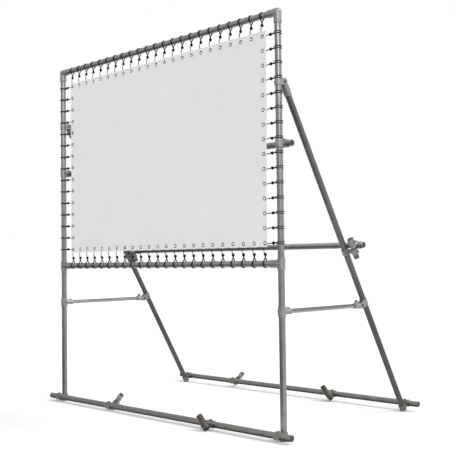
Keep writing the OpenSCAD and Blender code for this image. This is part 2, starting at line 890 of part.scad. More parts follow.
stub(LEFT);  // stub_left
stub(RIGHT);  // stub_right
stub_crossover(LEFT);  // stub_crossover_left
stub_crossover(RIGHT);  // stub_crossover_right
swivel_bolts();
set_screws();
rail_clamp(true, LEFT);  // rail_clamp_front_left
rail_clamp(true, RIGHT);  // rail_clamp_front_right
rail_clamp(false, LEFT);  // rail_clamp_rear_left
rail_clamp(false, RIGHT);  // rail_clamp_rear_right
sleeve_clamp(true, LEFT);  // sleeve_clamp_front_left
sleeve_clamp(true, RIGHT);  // sleeve_clamp_front_right
sleeve_clamp(false, LEFT);  // sleeve_clamp_rear_left
sleeve_clamp(false, RIGHT);  // sleeve_clamp_rear_right
anchor_sleeve(true, LEFT);  // anchor_sleeve_front_left
anchor_sleeve(true, RIGHT);  // anchor_sleeve_front_right
anchor_sleeve(false, LEFT);  // anchor_sleeve_rear_left
anchor_sleeve(false, RIGHT);  // anchor_sleeve_rear_right
sheet();
eyelets();
bungee_loops();
bungee_balls();
bungee_strands();
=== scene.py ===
"""Pitch back rebounder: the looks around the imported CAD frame. Metres, row frame."""

import math
import random

import bmesh
import bpy
import numpy as np
from mathutils import Euler, Matrix, Vector


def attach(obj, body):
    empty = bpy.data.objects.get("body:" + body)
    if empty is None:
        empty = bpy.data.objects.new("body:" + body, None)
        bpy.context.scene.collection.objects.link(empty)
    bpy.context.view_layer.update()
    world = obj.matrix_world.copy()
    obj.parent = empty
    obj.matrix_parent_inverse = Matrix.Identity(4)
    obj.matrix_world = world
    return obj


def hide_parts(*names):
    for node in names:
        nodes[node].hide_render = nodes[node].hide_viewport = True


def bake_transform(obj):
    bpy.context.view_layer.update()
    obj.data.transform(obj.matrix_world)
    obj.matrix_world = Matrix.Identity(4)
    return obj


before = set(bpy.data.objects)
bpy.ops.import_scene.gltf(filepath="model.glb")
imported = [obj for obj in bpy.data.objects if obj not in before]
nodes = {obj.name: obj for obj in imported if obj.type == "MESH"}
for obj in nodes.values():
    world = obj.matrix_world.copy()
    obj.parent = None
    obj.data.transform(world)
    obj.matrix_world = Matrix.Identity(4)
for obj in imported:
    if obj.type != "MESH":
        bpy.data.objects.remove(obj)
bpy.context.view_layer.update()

# ---------- sizes shared with the CAD source ----------

TUBE_R = 0.02415
TUBE_BORE_R = 0.02095
STUB_BORE_R = 0.0186
BRACE_TILT = math.radians(30.3)
SLEEVE_TILT = 0.768
PANEL_Y = -0.76903  # plane of the posts, rails and sheet
PANEL_X = -0.0125  # middle of the panel
POST_HALF = 1.350  # from there to a post
LOW_RAIL_Z = 1.265
TOP_RAIL_Z = 3.098
LACE_GAP = 0.152  # from a tube's axis to the eyelets
BALL_REACH = 0.070  # from a tube's axis to the balls
REACH = LACE_GAP - BALL_REACH  # from an eyelet to its ball
COLS, ROWS = 23, 15  # eyelets
FIELD_W = 2 * POST_HALF - 2 * LACE_GAP
FIELD_H = TOP_RAIL_Z - LOW_RAIL_Z - 2 * LACE_GAP
FIELD_LOW = LOW_RAIL_Z + LACE_GAP
PITCH_X = FIELD_W / (COLS - 1)
PITCH_Z = FIELD_H / (ROWS - 1)
MARGIN = 0.030  # from the outer eyelets to the sheet's edge
NECK_R = 0.01125  # hole that an eyelet is set in
EYELET_OUTER_R = 0.015

# ---------- sizes of the scene's own pieces ----------

SHEET_T = 0.0016
HEM_T = 0.0030
HEM_W = 0.082
PUCKER = 0.0016  # how far the cloth stands out between two eyelets
PUCKER_FADE = 0.09  # over this length from the eyelets, that dies down to a third
SLACK = 0.0012  # slow waves of the whole sheet
SCALLOP = 0.0030  # how far the edge draws in between two eyelets
SKEW_OUT, SKEW_IN = 0.009, 0.011  # of the right edge, at its top and at its foot
TOP_RISE = 0.009  # of the top edge, at its right end
THREAD_PITCH = 0.0024
MOUTH_R, RIM_R = 0.0086, 0.0098  # where an eyelet's bright mouth ends and its dark rim begins
BALL_R = 0.0122
SEAM_H = 0.00025
CORD_R = 0.0029
WOUND_R = TUBE_R + CORD_R + 0.0001  # of the turns round a tube
NECK_CORD_R = 0.0024  # where the cord is drawn thin between the whipping and the ball
WIDE_TURNS = 0.0145  # between the two turns on the right post
CLOSE_TURNS = 2 * CORD_R + 0.0004  # and on the other tubes
KNOT_GAP = 0.028  # from the ball to the whipping of its legs
STRAND_R = 0.0019
EYE_STRAND_R = 0.0011  # where the strand is drawn thin through the eyelet
STRAND_BOW = 0.0155  # of the strands at the top and bottom, to the left
SHADED_BELOW_Z, LIT_ABOVE_Z = 0.7, 1.5  # heights between which the braces and stubs go from darker to lighter colours; the darker ones below are painted shade

# ---------- light ----------

AMBIENT = 0.40
FLOOR_GREY = 0.80
FLOOR_GLOW = 0.12
ROOM_SIDE = (-0.26, -0.966, 0)  # towards this side the floor is dark in gloss
ROOM_NEAR = (0.9, 1.9)  # how far out the dark sets in
ROOM_FAR = (12.0, 16.0)  # and ends
OPEN_SIDE = Vector((0.80, 0.45, 0.40)).normalized()  # on this side the world's gloss is full
FLAG_EDGE = (-0.45, 0.55)  # between these heights along it, the gloss rises from dim to full
FLAG_DIM = 0.14
SUNS = (  # name, direction of the light, what it adds to a surface that faces it, spread in degrees
    ("key", (0.62, 0.40, 0.68), 0.62, 30),
    ("front", (0.72, -0.62, 0.37), 0.36, 9),
    ("fill", (-0.10, -0.90, 0.45), 0.14, 80),
    ("overhead", (0.05, 0.0, 1.0), 0.30, 90),
)


def grey(v):
    return (v, v, v)


# ---------- camera ----------

def make_camera():
    """right, down and ahead are the camera's axes in the row frame."""
    data = bpy.data.cameras.new("camera")
    data.sensor_width = 36.0
    data.sensor_fit = "HORIZONTAL"
    data.lens = 65.21
    data.clip_start = 0.05
    data.clip_end = 200
    cam = bpy.data.objects.new("camera", data)
    bpy.context.scene.collection.objects.link(cam)
    right = Vector((0.7168734, 0.6970870, -0.0127364))
    down = Vector((-0.0352464, 0.0179903, -0.9992167))
    ahead = Vector((-0.6963119, 0.7167608, 0.0374665))
    m = Matrix((right, -down, -ahead)).transposed().to_4x4()
    m.translation = Vector((5.23304, -5.31155, 1.29154))
    cam.matrix_world = m @ Matrix.Rotation(0.00080, 4, "X") @ Matrix.Rotation(0.00026, 4, "Y")
    bpy.context.scene.camera = cam


# ---------- node helpers ----------

class Tree:
    """Makes and links the nodes of one node tree."""

    def __init__(self, tree):
        self.tree = tree
        self.tree.nodes.clear()

    def link(self, a, b):
        self.tree.links.new(a, b)

    def add(self, kind, **values):
        """A node, with values for its inputs. Underscores stand for spaces in their names."""
        n = self.tree.nodes.new("ShaderNode" + kind)
        for key, value in values.items():
            n.inputs[key.replace("_", " ")].default_value = value
        return n

    def math(self, op, *terms):
        n = self.add("Math")
        n.operation = op
        for i, v in enumerate(terms):
            if isinstance(v, (int, float)):
                n.inputs[i].default_value = v
            else:
                self.link(v, n.inputs[i])
        return n.outputs[0]

    def weigh(self, *pairs):
        """The sum of some values, each times its weight."""
        total = self.math("MULTIPLY", *pairs[-1])
        for value, weight in reversed(pairs[:-1]):
            total = self.math("MULTIPLY_ADD", value, weight, total)
        return total

    def length(self, a, b):
        return self.math("SQRT", self.math("ADD", self.math("MULTIPLY", a, a), self.math("MULTIPLY", b, b)))

    def dot(self, vector, direction):
        n = self.add("VectorMath")
        n.operation = "DOT_PRODUCT"
        n.inputs[1].default_value = direction
        self.link(vector, n.inputs[0])
        return n.outputs["Value"]

    def split(self, vector):
        n = self.add("SeparateXYZ")
        self.link(vector, n.inputs[0])
        return n.outputs

    def span(self, value, low, high):
        """Spreads a value from 0..1 over low..high."""
        n = self.add("MapRange", To_Min=low, To_Max=high)
        self.link(value, n.inputs[0])
        return n.outputs[0]

    def ease(self, value, low, high, at_low=0.0, at_high=1.0):
        """at_low up to value = low, at_high from value = high, smooth between."""
        n = self.add("MapRange", From_Min=low, From_Max=high, To_Min=at_low, To_Max=at_high)
        n.interpolation_type = "SMOOTHSTEP"
        self.link(value, n.inputs[0])
        return n.outputs[0]

    def mixed(self, first, second, factor):
        """The first colour at factor 0, the second at 1. A colour is a socket or a tuple."""
        n = self.add("Mix")
        n.data_type = "RGBA"
        ports = {p.identifier: p for p in n.inputs}
        self.link(factor, ports["Factor_Float"])
        for colour, port in ((first, ports["A_Color"]), (second, ports["B_Color"])):
            if isinstance(colour, tuple):
                port.default_value = (*colour, 1)
            else:
                self.link(colour, port)
        return next(p for p in n.outputs if p.identifier == "Result_Color")

    def rays(self):
        """The Light Path outputs, and 1 for camera, glossy and transmission rays, 0 for the rays
        that light the object."""
        path = self.add("LightPath").outputs
        seen = self.math("MAXIMUM", path["Is Camera Ray"], path["Is Glossy Ray"])
        return path, self.math("MAXIMUM", seen, path["Is Transmission Ray"])


class Graph(Tree):
    """A material with one Principled shader, patterned by the object's own coordinates."""

    def __init__(self, name):
        self.mat = bpy.data.materials.new(name)
        self.mat.use_nodes = True
        super().__init__(self.mat.node_tree)
        self.shader = self.add("BsdfPrincipled")
        self.link(self.shader.outputs[0], self.add("OutputMaterial").inputs[0])
        self.coord = self.add("TexCoord").outputs["Object"]

    def set(self, **values):
        """Values for the shader's own inputs."""
        for key, value in values.items():
            self.shader.inputs[key.replace("_", " ")].default_value = value

    def wire(self, **sockets):
        """Sockets for the shader's inputs."""
        for key, socket in sockets.items():
            self.link(socket, self.shader.inputs[key.replace("_", " ")])

    def mapping(self, scale=(1, 1, 1), rotation=(0, 0, 0), source=None):
        n = self.add("Mapping", Scale=scale, Rotation=rotation)
        self.link(source or self.coord, n.inputs["Vector"])
        return n.outputs[0]

    def noise(self, scale, detail=3.0, rough=0.55, vector=None):
        n = self.add("TexNoise", Scale=scale, Detail=detail, Roughness=rough)
        self.link(vector or self.coord, n.inputs["Vector"])
        return n.outputs["Fac"]

    def voronoi(self, scale, vector=None, output="Color"):
        n = self.add("TexVoronoi", Scale=scale)
        self.link(vector or self.coord, n.inputs["Vector"])
        return n.outputs[output]

    def wave(self, scale, direction, vector=None, distortion=0.0):
        n = self.add("TexWave", Scale=scale, Distortion=distortion, Detail=0)
        n.bands_direction = direction
        self.link(vector or self.coord, n.inputs["Vector"])
        return n.outputs["Fac"]

    def ramp(self, value, *stops):
        """A colour for a value, from stops of (value, colour)."""
        n = self.add("ValToRGB")
        elements = n.color_ramp.elements
        while len(elements) < len(stops):
            elements.new(0.5)
        for element, (position, colour) in zip(elements, stops):
            element.position = position
            element.color = (*colour, 1)
        self.link(value, n.inputs[0])
        return n.outputs[0]

    def greys(self, value, low, high):
        """From a low grey to a high one, for the wear of small parts."""
        return self.ramp(value, (0.35, grey(low)), (0.65, grey(high)))

    def tones(self, value, low, high, at=(0.30, 0.50, 0.72)):
        """From the low colour through their mean to the high one, at three values."""
        mid = tuple((a + b) / 2 for a, b in zip(low, high))
        return self.ramp(value, *zip(at, (low, mid, high)))

    def shaded(self, colour, factor):
        """A colour times a factor."""
        n = self.add("VectorMath")
        n.operation = "SCALE"
        self.link(colour, n.inputs[0])
        self.link(factor, n.inputs["Scale"])
        return n.outputs[0]

    def facing(self, low, high, at_low, at_high):
        """at_low where the surface's own normal has z = low, at_high at z = high, smooth between."""
        normal = self.add("TexCoord").outputs["Normal"]
        return self.ease(self.split(normal)["Z"], low, high, at_low, at_high)

    def distance(self, vector, point, axes):
        """How far a vector is from a point, along two axes."""
        place = self.split(vector)
        return self.length(*(self.math("SUBTRACT", place["XYZ"[k]], float(point[k])) for k in axes))

    def bump(self, height, strength, distance, under=None):
        n = self.add("Bump", Strength=strength, Distance=distance)
        self.link(height, n.inputs["Height"])
        if under is not None:
            self.link(under, n.inputs["Normal"])
        return n.outputs[0]


# ---------- materials ----------

def tube_material(name, along, low, high, tilt=(0, 0, 0), painted_shade=None, lit_upper=None, metallic=0.85,
                  rough=(0.24, 0.40), middle=None, bore=TUBE_BORE_R, bore_light=(grey(0.23), grey(0.32))):
    """Drawn steel tube: long faint streaks along the tube, small blotches, a satin shine.
    along is the scale of the streaks, once the coordinates are turned by tilt, and low and high
    are the colours. dulled is what facing() takes: the share of the colour left where the surface
    faces down and up, that is painted shade and painted light by the way the surface faces. clean
    gives two lighter colours like low and high, which the tube has from LIT_ABOVE_Z up, so that the
    darker colours lower down are painted shade. middle is the middle of an open tube, whose bore
    then has the two colours of inside and is matt, painted light in place of the shade in the bore."""
    g = Graph(name)
    turned = g.mapping(rotation=tilt)
    stretched = g.mapping(scale=along, source=turned)
    streaks = g.noise(9.0, 4.0, 0.6, stretched)
    blotch = g.noise(14.0, 3.0, 0.5, turned)
    spangle = g.voronoi(160.0, turned)
    stain = g.weigh((streaks, 0.55), (blotch, 0.45))
    colour = g.tones(stain, low, high)
    # painted shade: below a height the tube keeps its darker colours, above it takes the lighter ones
    if lit_upper:
        upper = g.ramp(stain, (0.30, lit_upper[0]), (0.72, lit_upper[1]))
        colour = g.mixed(colour, upper, g.ease(g.split(g.coord)["Z"], SHADED_BELOW_Z, LIT_ABOVE_Z))
    # painted shade and painted light: the colour is scaled by whether the surface faces down or up
    if painted_shade:
        colour = g.shaded(colour, g.facing(*painted_shade))
    g.set(Metallic=metallic)
    # painted light: the bore of an open tube gets its own matt colours in place of its shade
    if middle is not None:
        centre = Euler(tilt).to_matrix() @ Vector(middle)
        across = [k for k in range(3) if along[k] == max(along)]
        inner = g.ease(g.distance(turned, centre, across), bore + 0.0002, bore + 0.0009, 1.0, 0.0)
        colour = g.mixed(colour, g.ramp(stain, (0.30, bore_light[0]), (0.72, bore_light[1])), inner)
        g.wire(Metallic=g.math("MULTIPLY_ADD", inner, 0.30 - metallic, metallic))
    fine = g.noise(420.0, 2.0, 0.5, stretched)
    g.wire(Base_Color=colour, Roughness=g.span(g.weigh((spangle, 0.25), (streaks, 0.75)), *rough),
           Normal=g.bump(fine, 0.10, 0.0006, g.bump(streaks, 0.06, 0.001)))
    return g.mat


def fitting_material(name, low, high):
    """Galvanised cast iron: a dull grained skin, darker in its pits."""
    g = Graph(name)
    grain = g.noise(240.0, 4.0, 0.65)
    cloud = g.noise(26.0, 4.0, 0.6)
    spangle = g.voronoi(210.0, output="Distance")
    g.set(Metallic=0.55)
    g.wire(Base_Color=g.tones(g.weigh((cloud, 0.6), (grain, 0.4)), low, high, (0.32, 0.52, 0.70)),
           Roughness=g.span(grain, 0.34, 0.50),
           Normal=g.bump(grain, 0.25, 0.0006, g.bump(spangle, 0.10, 0.0006)))
    return g.mat


def screw_material():
    g = Graph("screw_steel")
    worn = g.noise(900.0, 3.0, 0.6)
    g.set(Metallic=0.85)
    g.wire(Base_Color=g.greys(worn, 0.05, 0.16), Roughness=g.span(worn, 0.30, 0.5),
           Normal=g.bump(worn, 0.15, 0.0002))
    return g.mat


def sheet_material():
    """Woven polyester, with threads both ways."""
    g = Graph("sheet_fabric")
    thread = 2 * math.pi / (20 * THREAD_PITCH)  # a wave texture turns 20 * scale radians in a metre
    weave = g.math("MULTIPLY", g.wave(thread, "X", distortion=0.15), g.wave(thread, "Z", distortion=0.15))
    cloud = g.noise(5.0, 5.0, 0.62)
    fibre = g.noise(700.0, 2.0, 0.5)
    tone = g.weigh((weave, 0.35), (cloud, 0.5), (fibre, 0.25))
    g.set(Roughness=0.85, Metallic=0.0, Sheen_Weight=0.25, Sheen_Roughness=0.5, Specular_IOR_Level=0.25)
    g.wire(Base_Color=g.ramp(tone, (0.15, (0.628, 0.630, 0.630)), (0.50, (0.682, 0.684, 0.682)),
                             (0.85, (0.730, 0.730, 0.728))),
           Normal=g.bump(weave, 0.35, 0.0006, g.bump(fibre, 0.1, 0.0003)))
    return g.mat


def eyelet_material():
    """Nickel, bright in the barrel and at the mouth, dark on the rolled outer rim."""
    g = Graph("eyelet_metal")
    worn = g.noise(500.0, 3.0, 0.6)
    place = g.split(g.coord)
    offsets = []  # from the nearest eyelet of the grid, along x and along z
    for axis, first, pitch in (("X", PANEL_X - FIELD_W / 2, PITCH_X), ("Z", FIELD_LOW, PITCH_Z)):
        cell = g.math("FRACT", g.math("MULTIPLY_ADD", place[axis], 1 / pitch, 0.5 - first / pitch))
        offsets.append(g.math("MULTIPLY", g.math("SUBTRACT", cell, 0.5), pitch))
    mouth = g.greys(worn, 0.62, 0.78)
    rim = g.greys(worn, 0.030, 0.07)
    g.set(Metallic=0.85)
    g.wire(Base_Color=g.mixed(mouth, rim, g.ease(g.length(*offsets), MOUTH_R, RIM_R)),
           Roughness=g.span(worn, 0.25, 0.42), Normal=g.bump(worn, 0.12, 0.0002))
    return g.mat


def cord_material(name, low, high):
    """Braided sleeve of an elastic cord."""
    g = Graph(name)
    left = g.wave(420.0, "DIAGONAL")
    right = g.wave(420.0, "DIAGONAL", g.mapping(scale=(1, -1, -1)))
    braid = g.math("MAXIMUM", left, right)
    fluff = g.noise(1500.0, 2.0, 0.5)
    g.set(Roughness=0.85, Sheen_Weight=0.04, Specular_IOR_Level=0.15)
    g.wire(Base_Color=g.ramp(g.weigh((braid, 0.7), (fluff, 0.3)), (0.25, low), (0.85, high)),
           Normal=g.bump(braid, 0.5, 0.0005, g.bump(fluff, 0.2, 0.0002)))
    return g.mat


def ball_material():
    g = Graph("ball_plastic")
    skin = g.noise(900.0, 3.0, 0.5)
    g.set(Specular_IOR_Level=0.08)
    g.wire(Base_Color=g.greys(skin, 0.002, 0.005), Roughness=g.span(skin, 0.38, 0.55),
           Normal=g.bump(skin, 0.12, 0.0002))
    return g.mat


# ---------- mesh helpers ----------

def new_object(name, verts, faces, material, smooth=True):
    me = bpy.data.meshes.new(name)
    me.from_pydata([tuple(v) for v in verts], [], [tuple(f) for f in faces])
    me.update()
    if smooth:
        me.polygons.foreach_set("use_smooth", [True] * len(me.polygons))
    me.materials.append(material)
    ob = bpy.data.objects.new(name, me)
    bpy.context.scene.collection.objects.link(ob)
    return ob


def smooth_path(points, per_span):
    """A Catmull-Rom curve through the points."""
    p = np.array([2 * np.array(points[0]) - points[1], *points, 2 * np.array(points[-1]) - points[-2]])
    out = []
    for i in range(1, len(p) - 2):
        for t in np.linspace(0, 1, per_span, endpoint=False):
            a, b, c, d = p[i - 1], p[i], p[i + 1], p[i + 2]
            out.append(0.5 * (2 * b + (c - a) * t + (2 * a - 5 * b + 4 * c - d) * t * t
                              + (3 * b - a - 3 * c + d) * t ** 3))
    out.append(p[-2])
    return np.array(out)


def sweep(path, radii, sides):
    """A round tube along a path, with capped ends. The radii are spread evenly over its points."""
    n = len(path)
    radii = np.interp(np.linspace(0, 1, n), np.linspace(0, 1, len(radii)), radii)
    tangents = np.gradient(path, axis=0)
    tangents /= np.linalg.norm(tangents, axis=1)[:, None]
    ref = np.array([0.3, 0.2, 0.9])
    if abs(ref @ tangents[0]) > 0.9:
        ref = np.array([0.9, 0.3, 0.1])
    side = np.cross(tangents[0], ref)
    side /= np.linalg.norm(side)
    verts = []
    turn = np.linspace(0, 2 * math.pi, sides, endpoint=False)
    for i in range(n):
        side = side - (side @ tangents[i]) * tangents[i]
        side /= np.linalg.norm(side)
        other = np.cross(tangents[i], side)
        for a in turn:
            verts.append(path[i] + radii[i] * (math.cos(a) * side + math.sin(a) * other))
    faces = []
    for i in range(n - 1):
        for k in range(sides):
            a, b = i * sides + k, i * sides + (k + 1) % sides
            faces.append((a, b, b + sides, a + sides))
    faces.append(tuple(reversed(range(sides))))
    faces.append(tuple((n - 1) * sides + k for k in range(sides)))
    return np.array(verts), faces


def join_parts(parts):
    verts, faces, base = [], [], 0
    for v, f in parts:
        verts.append(v)
        faces += [tuple(i + base for i in face) for face in f]
        base += len(v)
    return np.concatenate(verts), faces


# ---------- the bungees ----------

def bungee_frames():
    """(side, origin at the eyelet, direction to the tube, direction along the tube) of each bungee."""
    out = []
    for i in range(COLS):
        x = PANEL_X + i * PITCH_X - FIELD_W / 2
        out.append(("top", (x, PANEL_Y, FIELD_LOW + FIELD_H), (0, 0, 1), (1, 0, 0)))
        out.append(("bottom", (x, PANEL_Y, FIELD_LOW), (0, 0, -1), (-1, 0, 0)))
    for j in range(ROWS):
        z = FIELD_LOW + j * PITCH_Z
        out.append(("right", (PANEL_X + FIELD_W / 2, PANEL_Y, z), (1, 0, 0), (0, 0, -1)))
        out.append(("left", (PANEL_X - FIELD_W / 2, PANEL_Y, z), (-1, 0, 0), (0, 0, 1)))
    return out


def to_world(origin, out, along, pts):
    """Local (along the tube, towards the back, towards the tube) to the row frame."""
    o, z, x = (np.array(v, float) for v in (origin, out, along))
    y = np.array((0.0, 1.0, 0.0))
    return o + pts[:, :1] * x + pts[:, 1:2] * y + pts[:, 2:3] * z


def loop_parts(side, rng):
    """Two turns of cord round the tube. Their four legs run together to the ball through a
    whipping, in local coordinates."""
    knot = REACH + KNOT_GAP
    tangent = math.acos(WOUND_R / (BALL_REACH - KNOT_GAP))
    spacing = WIDE_TURNS if side == "right" else CLOSE_TURNS
    parts = []
    for s in (-1, 1):
        slip = rng.uniform(-0.0012, 0.0012)
        neck = [(s * 0.0023, -0.0023, REACH + 0.0080), (s * 0.0025, -0.0025, REACH + 0.0165),
                (s * 0.0026, -0.0026, knot - 0.0015)]
        turn = []
        for t in np.linspace(0, 1, 22):
            angle = tangent + 2 * (math.pi - tangent) * t
            turn.append((s * spacing / 2 + slip * math.sin(math.pi * t), -WOUND_R * math.sin(angle),
                         LACE_GAP - WOUND_R * math.cos(angle)))
        course = neck + turn + [(x, -y, z) for x, y, z in reversed(neck)]
        radii = [NECK_CORD_R] * 3 + [CORD_R] * len(turn) + [NECK_CORD_R] * 3
        parts.append(sweep(smooth_path([np.array(p) for p in course], 2), radii, 8))
    whipping = [(0, 0, knot + up) for up in (-0.0045, -0.0035, 0, 0.0035, 0.0045)]
    parts.append(sweep(np.array(whipping), [0.0030, 0.0048, 0.0053, 0.0048, 0.0030], 12))
    return parts


def strand_part(side, rng):
    """The doubled strand from the ball. It passes behind the sheet, comes forward through the
    eyelet and ends in a bight over its flange, in local coordinates."""
    lean = {"top": -STRAND_BOW, "bottom": STRAND_BOW, "left": -0.0015, "right": 0.0015}[side]
    lean += rng.uniform(-0.0015, 0.0015)
    arch = {"top": 0.0, "bottom": 0.0, "left": 0.0015, "right": -0.0025}[side] + rng.uniform(-0.0008, 0.0008)
    edge = math.copysign(0.0018, lean)  # where it lies in the eyelet's hole
    course = [
        (lean * 0.35, 0.0006, REACH - 0.0070),
        (lean * 0.70 + arch * 0.5, 0.0010, REACH - 0.0145),
        (lean * 1.00 + arch, 0.0022, REACH * 0.66),
        (lean * 1.04, 0.0046, REACH * 0.46),
        (lean * 0.90, 0.0064, 0.0250),
        (lean * 0.55, 0.0070, 0.0150),
        (edge * 1.3, 0.0040, 0.0072),
        (edge, 0.0, 0.0056),
        (edge, -0.0036, 0.0072),
        (edge, -0.0040, 0.0105),
    ]
    radii = [STRAND_R] * 5 + [0.0016, 0.0012] + [EYE_STRAND_R] * 3
    legs = [[(x + s * r * 1.04, y, z) for (x, y, z), r in zip(course, radii)] for s in (-1, 1)]
    x, y, z = course[-1]
    tip = [(x - 0.0010, y, z + 0.0013), (x + 0.0010, y, z + 0.0013)]
    path = smooth_path([np.array(p) for p in legs[0] + tip + legs[1][::-1]], 3)
    return sweep(path, radii + [EYE_STRAND_R] * 2 + radii[::-1], 7)


def ball_part():
    """A moulded ball, drawn out to a cone on the side of the legs, with a seam round it."""
    rings, sides = 18, 24
    verts = []
    for i in range(rings + 1):
        polar = math.pi * i / rings
        cone = max(math.cos(polar), 0.0) ** 2
        for k in range(sides):
            turn = 2 * math.pi * k / sides
            x, y, z = math.sin(polar) * math.cos(turn), math.sin(polar) * math.sin(turn), math.cos(polar)
            r = BALL_R + SEAM_H * max(1 - abs(y) / 0.10, 0)
            verts.append((x * r * (1 - 0.34 * cone), y * r * (1 - 0.34 * cone), z * r * (1 + 0.45 * cone)))
    bm = bmesh.new()
    vs = [bm.verts.new(v) for v in verts]
    for i in range(rings):
        for k in range(sides):
            a, b = i * sides + k, i * sides + (k + 1) % sides
            bm.faces.new([vs[j] for j in (a, a + sides, b + sides, b)])
    bmesh.ops.remove_doubles(bm, verts=bm.verts, dist=1e-6)
    bm.verts.index_update()
    out = np.array([tuple(v.co) for v in bm.verts]), [tuple(v.index for v in f.verts) for f in bm.faces]
    bm.free()
    return out


def make_bungees():
    rng = random.Random(11)
    loops, balls = [], []
    strands = {"top": [], "bottom": [], "left": [], "right": []}
    ball_v, ball_f = ball_part()
    for side, origin, out, along in bungee_frames():
        for v, f in loop_parts(side, rng):
            loops.append((to_world(origin, out, along, v), f))
        v, f = strand_part(side, rng)
        strands[side].append((to_world(origin, out, along, v), f))
        balls.append((to_world(origin, out, along, ball_v + np.array((0, 0, REACH))), ball_f))
    cord = cord_material("elastic_cord", grey(0.007), grey(0.024))
    thin = cord_material("elastic_strand", grey(0.007), grey(0.026))
    ob = new_object("bungee_cord_loops", *join_parts(loops), cord)
    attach(ob, "frame")
    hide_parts("bungee_loops")
    ob = new_object("bungee_ball_beads", *join_parts(balls), ball_material())
    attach(ob, "frame")
    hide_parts("bungee_balls")
    for side, parts in strands.items():
        ob = new_object(f"bungee_strands_{side}", *join_parts(parts), thin)
        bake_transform(ob)
        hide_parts("bungee_strands")


# ---------- the sheet ----------

def sheet_surface():
    """Quads of one face of the sheet in its plane, with a round hole at each eyelet of the border.
    Returns points (x, z) and faces."""
    n = 8  # edges along each side of a cell
    pts, index, faces = [], {}, []

    def vid(x, z):
        key = (round(x * 1e6), round(z * 1e6))
        if key not in index:
            index[key] = len(pts)
            pts.append((x, z))
        return index[key]

    for i in range(COLS):
        for j in range(ROWS):
            cx, cz = i * PITCH_X - FIELD_W / 2, j * PITCH_Z
            x0 = cx - (MARGIN if i == 0 else PITCH_X / 2)
            x1 = cx + (MARGIN if i == COLS - 1 else PITCH_X / 2)
            z0 = cz - (MARGIN if j == 0 else PITCH_Z / 2)
            z1 = cz + (MARGIN if j == ROWS - 1 else PITCH_Z / 2)
            if i in (0, COLS - 1) or j in (0, ROWS - 1):
                rim = []
                for side in range(4):
                    for k in range(n):
                        t = k / n
                        rim.append(((x0 + (x1 - x0) * t, z0), (x1, z0 + (z1 - z0) * t),
                                    (x1 - (x1 - x0) * t, z1), (x0, z1 - (z1 - z0) * t))[side])
                rows = []
                for layer in (0.0, 0.12, 0.35, 0.66, 1.0):  # from the hole to the cell's rim
                    row = []
                    for x, z in rim:
                        a = math.atan2(z - cz, x - cx)
                        hx, hz = cx + NECK_R * math.cos(a), cz + NECK_R * math.sin(a)
                        row.append(vid(hx + (x - hx) * layer, hz + (z - hz) * layer))
                    rows.append(row)
                for a, b in zip(rows, rows[1:]):
                    for k in range(len(rim)):
                        k2 = (k + 1) % len(rim)
                        faces.append((a[k], b[k], b[k2], a[k2]))
            else:
                grid = [[vid(x0 + (x1 - x0) * p / n, z0 + (z1 - z0) * q / n) for p in range(n + 1)]
                        for q in range(n + 1)]
                for q in range(n):
                    for p in range(n):
                        faces.append((grid[q][p], grid[q][p + 1], grid[q + 1][p + 1], grid[q + 1][p]))
    return np.array(pts), faces


def make_sheet(material):
    pts, faces = sheet_surface()
    x, z = pts[:, 0], pts[:, 1]
    left, right = -FIELD_W / 2 - MARGIN, FIELD_W / 2 + MARGIN
    low, high = -MARGIN, FIELD_H + MARGIN
    edge = np.minimum.reduce([x - left, right - x, z - low, high - z])
    # flat under the flange of the nearest eyelet
    col = np.clip(np.round((x + FIELD_W / 2) / PITCH_X), 0, COLS - 1)
    row = np.clip(np.round(z / PITCH_Z), 0, ROWS - 1)
    off_eyelet = np.hypot(x - (col * PITCH_X - FIELD_W / 2), z - row * PITCH_Z)
    flat = np.clip((off_eyelet - EYELET_OUTER_R) / 0.02, 0, 1)
    # the cloth runs in shallow puckers from eyelet to eyelet, which die out towards the middle
    fade = np.exp(-np.maximum(edge - MARGIN, 0) / PUCKER_FADE)
    across = np.where(np.minimum(x - left, right - x) < np.minimum(z - low, high - z),
                      2 * math.pi * z / PITCH_Z, 2 * math.pi * (x + FIELD_W / 2) / PITCH_X)
    pucker = PUCKER * fade * flat * (1 - np.cos(across)) * 0.5
    slow = SLACK * np.sin(x * 2.1 + 0.6) * np.sin(z * 2.9 + 0.4) * np.clip(edge / 0.25, 0, 1)
    mid = pucker + slow
    thick = np.where(edge < HEM_W, HEM_T, SHEET_T)
    # the edge draws in a little between eyelets
    scallop = SCALLOP * (1 - np.cos(across)) * 0.5 * np.clip(1 - edge / MARGIN, 0, 1)
    xs = np.where(x - left < MARGIN, x + scallop, x)
    xs = np.where(right - x < MARGIN, x - scallop, xs)
    zs = np.where(z - low < MARGIN, z + scallop, z)
    zs = np.where(high - z < MARGIN, z - scallop, zs)
    # the right edge is cut a little askew, and the top edge stands higher at the right
    tall = np.clip((z - low) / (high - low), 0, 1)
    wide = np.clip((x - left) / (right - left), 0, 1)
    xs = xs + np.clip((x - FIELD_W / 2) / MARGIN, 0, 1) * (SKEW_OUT * tall - SKEW_IN * (1 - tall))
    zs = zs + np.clip((z - FIELD_H) / MARGIN, 0, 1) * (TOP_RISE * wide)
    front, back = (np.stack([PANEL_X + xs, PANEL_Y + mid + s * thick / 2, FIELD_LOW + zs], 1)
                   for s in (-1, 1))
    n = len(pts)
    shell = faces + [tuple(i + n for i in reversed(f)) for f in faces]
    edges = dict.fromkeys((a, b) for f in faces for a, b in zip(f, f[1:] + f[:1]))
    shell += [(b, a, a + n, b + n) for a, b in edges if (b, a) not in edges]
    ob = new_object("rebound_sheet_cloth", np.concatenate([front, back]), shell, material)
    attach(ob, "sheet")
    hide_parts("sheet")


# ---------- materials of the CAD nodes ----------

